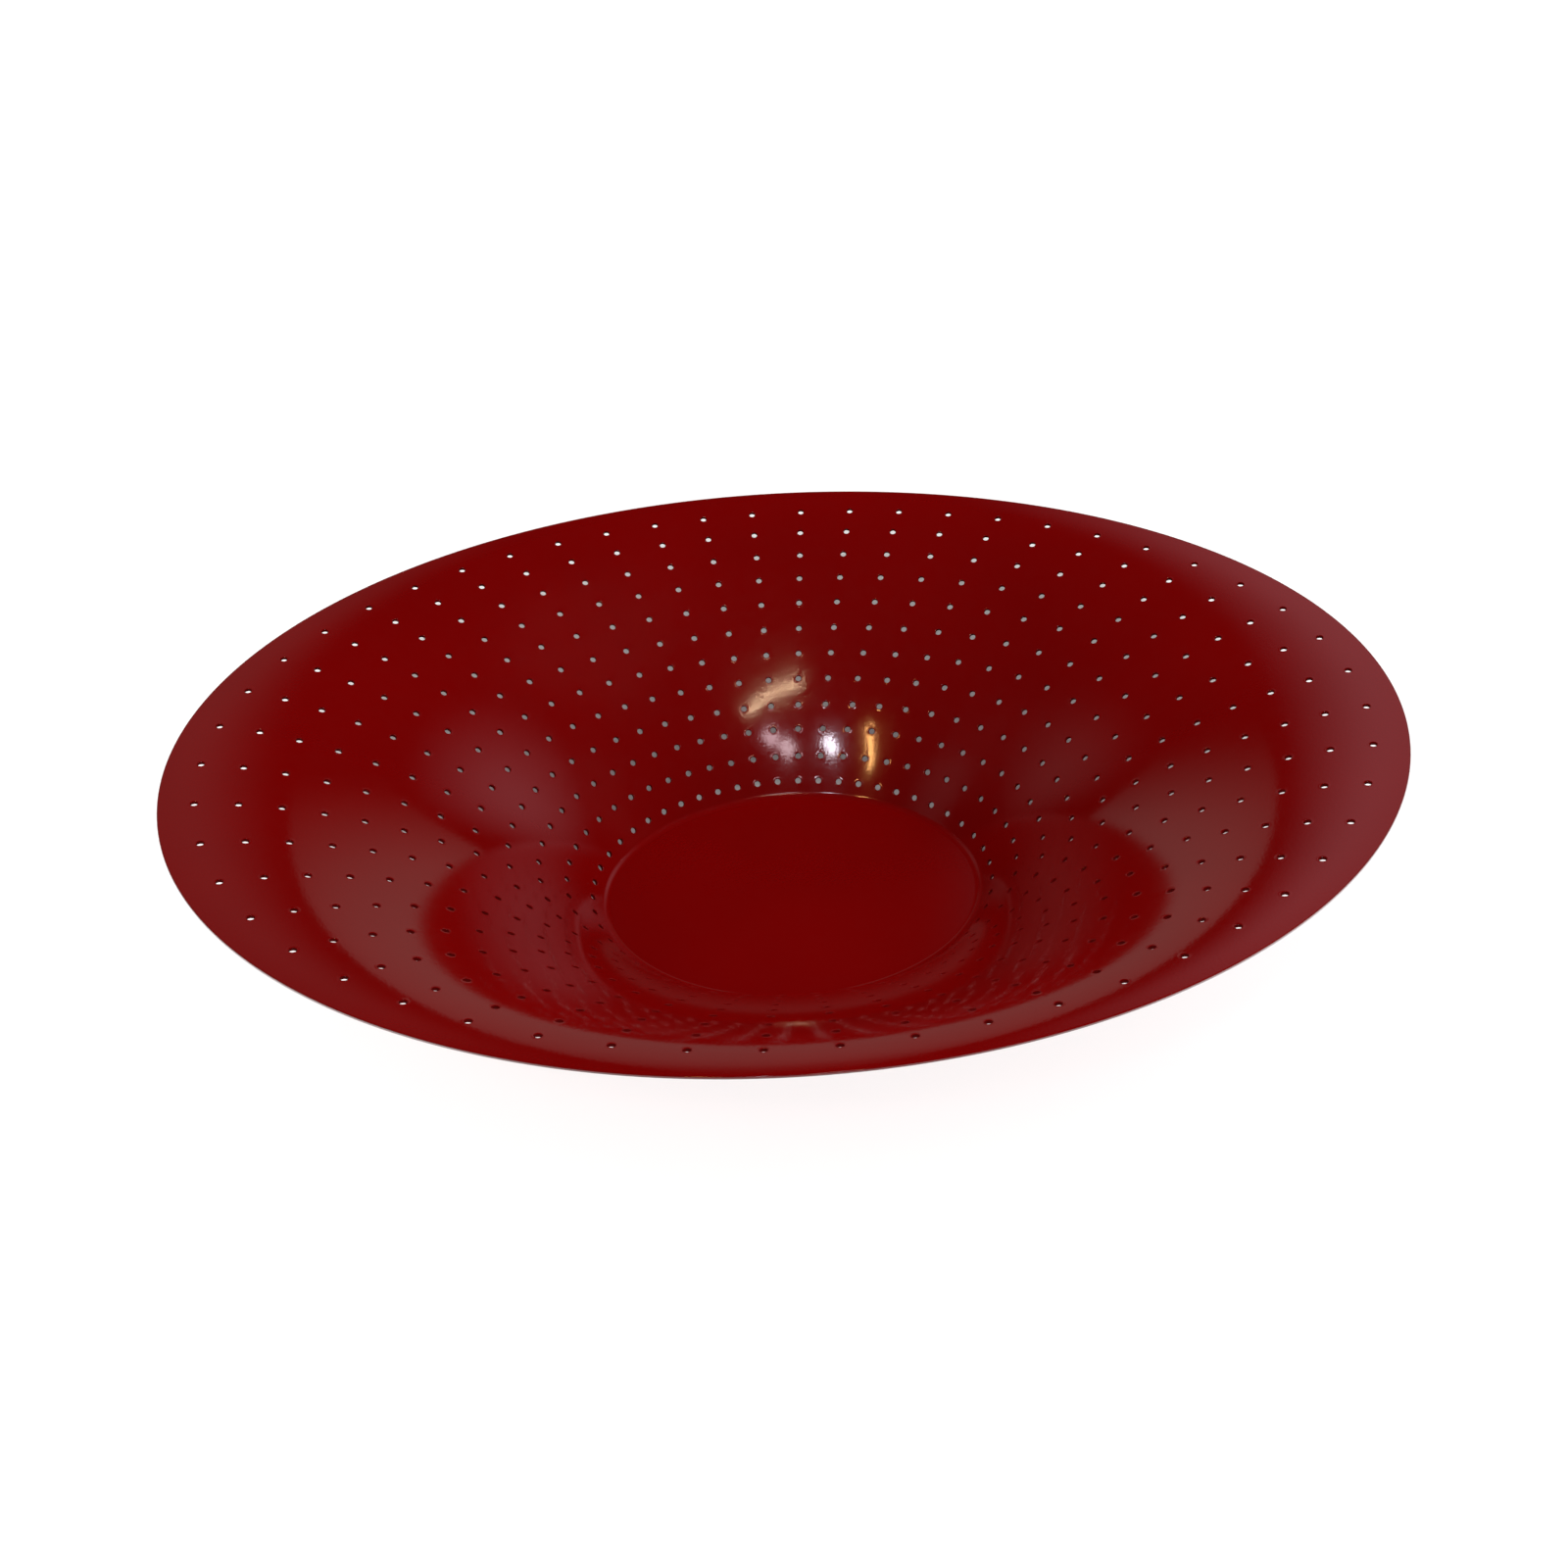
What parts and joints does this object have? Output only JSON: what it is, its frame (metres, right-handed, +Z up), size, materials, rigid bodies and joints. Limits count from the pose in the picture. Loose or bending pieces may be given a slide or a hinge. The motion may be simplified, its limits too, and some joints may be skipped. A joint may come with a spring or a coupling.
{
  "type": "perforated sifter bowl",
  "caption": "Wide flared oval bowl of coated sheet steel with rows of small round holes in its wall, a plain flat floor and low non-slip feet; it sifts, drains or serves.",
  "frame": {"origin": "point on the resting surface below the middle of the oval bowl", "axes": "+X along the bowl's length, +Y across it, +Z up out of its mouth"},
  "size_m": [0.32, 0.2482, 0.0649],
  "materials": {
    "red_coating": "gloss deep-red coating with a slight orange peel",
    "foot_rubber": "matt black rubber"
  },
  "bodies": {
    "root": {"bowl_shell": "red_coating", "front_left_foot": "foot_rubber", "front_right_foot": "foot_rubber", "rear_left_foot": "foot_rubber", "rear_right_foot": "foot_rubber"}
  },
  "joints": []
}
